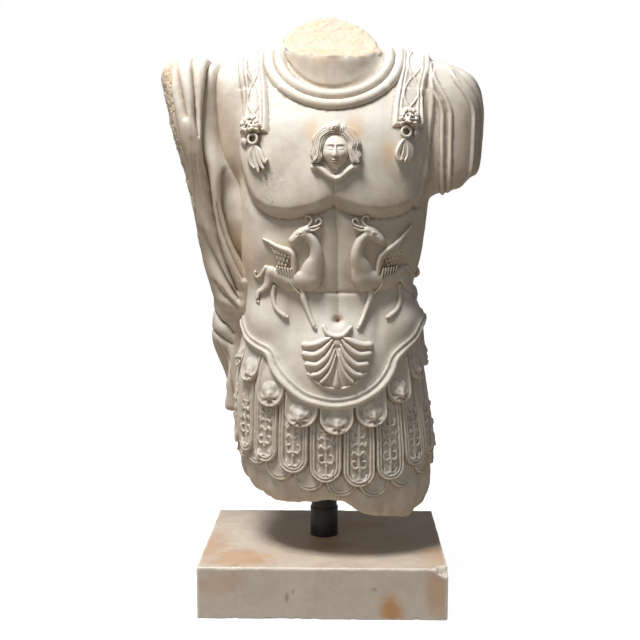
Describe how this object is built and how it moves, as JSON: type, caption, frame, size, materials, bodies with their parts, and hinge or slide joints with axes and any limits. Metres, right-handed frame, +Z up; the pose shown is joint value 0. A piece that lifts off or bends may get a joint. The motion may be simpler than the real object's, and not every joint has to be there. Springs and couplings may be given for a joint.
{
  "type": "marble cuirassed torso statue on plinth",
  "caption": "Headless marble torso in a carved cuirass with shoulder cloak and skirt of lappets, held by a black steel rod over a marble plinth.",
  "frame": {"origin": "centre of the plinth's underside, on the floor", "axes": "+X to the viewer's right, +Y from the front to the back, +Z up; the figure faces -Y"},
  "size_m": [0.572, 0.34, 1.0105],
  "materials": {
    "torso_marble": null,
    "black_steel": "black painted steel, satin",
    "plinth_marble": null
  },
  "bodies": {
    "root": {"torso": "torso_marble", "support_rod": "black_steel", "plinth": "plinth_marble"}
  },
  "joints": []
}
